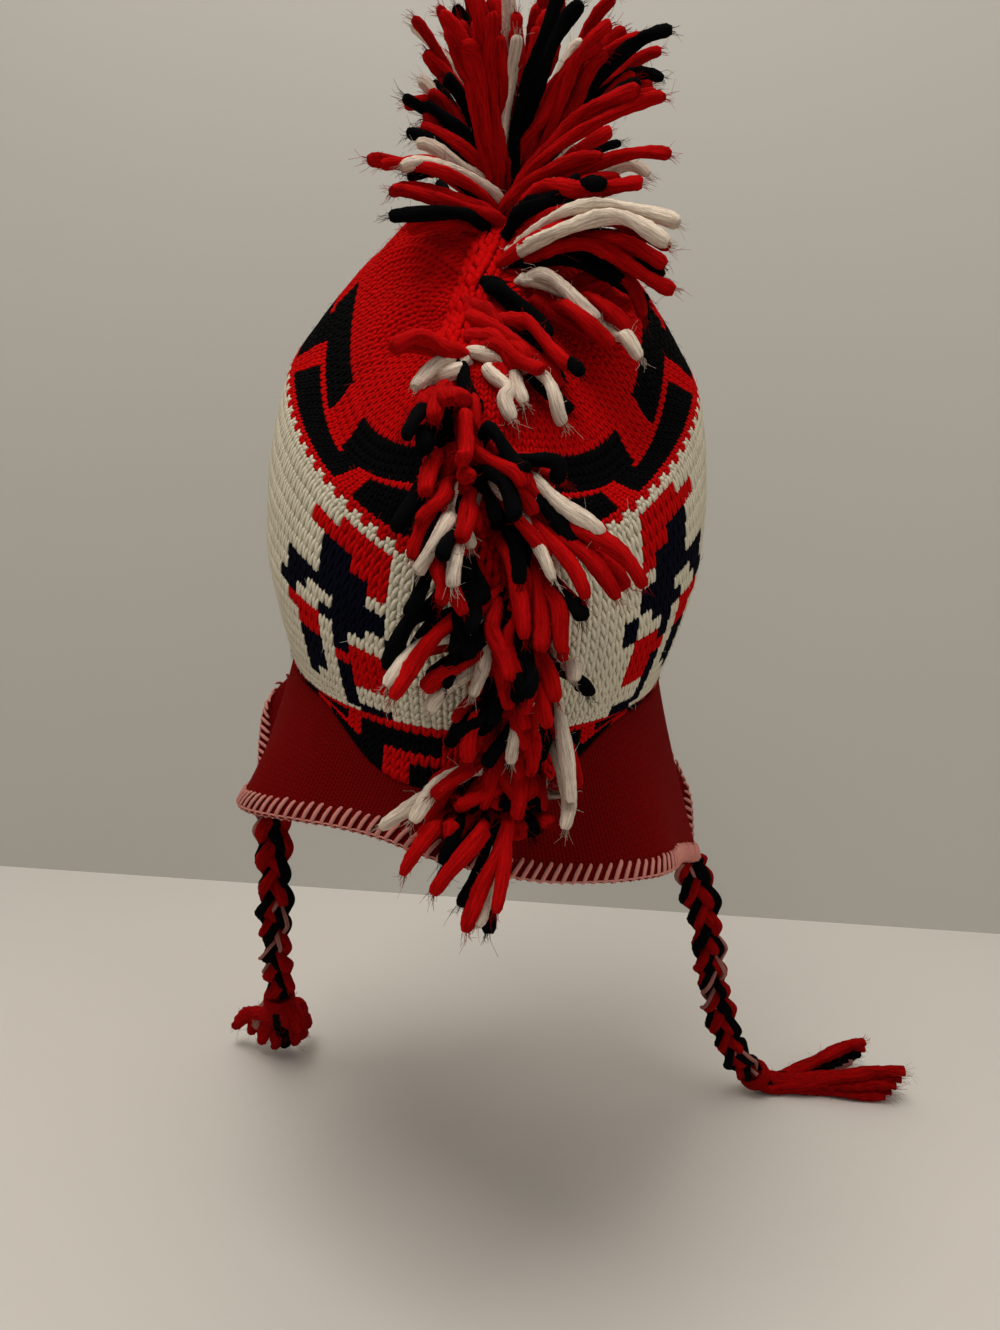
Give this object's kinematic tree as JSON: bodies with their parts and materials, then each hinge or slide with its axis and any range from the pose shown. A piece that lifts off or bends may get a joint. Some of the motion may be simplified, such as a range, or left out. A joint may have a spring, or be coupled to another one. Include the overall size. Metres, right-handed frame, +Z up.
{
  "type": "winter hat",
  "caption": "Knitted winter hat with ear flaps, a yarn strand crest from front to nape, patterned bands, a flared skirt and a braided tie with a tassel on each flap.",
  "frame": {"origin": "inner top of the crown, on the hat's middle plane, where the wearer's head touches it", "axes": "+Z up, +Y toward the wearer's face, -Y toward the nape, +X toward the wearer's right"},
  "size_m": [0.3992, 0.3434, 0.5474],
  "materials": {
    "knit_patterned": "knitted wool",
    "knit_red": "knitted wool",
    "yarn_crest": "soft thick yarn",
    "yarn_braid": "braided yarn"
  },
  "bodies": {
    "root": {"knit_body": "knit_patterned", "neck_skirt": "knit_red", "crest_front": "yarn_crest", "crest_top": "yarn_crest", "crest_nape": "yarn_crest", "left_braid": "yarn_braid", "right_braid": "yarn_braid", "left_tie": "yarn_braid", "right_tie": "yarn_braid", "left_tassel": "yarn_crest", "right_tassel": "yarn_crest"}
  },
  "joints": []
}
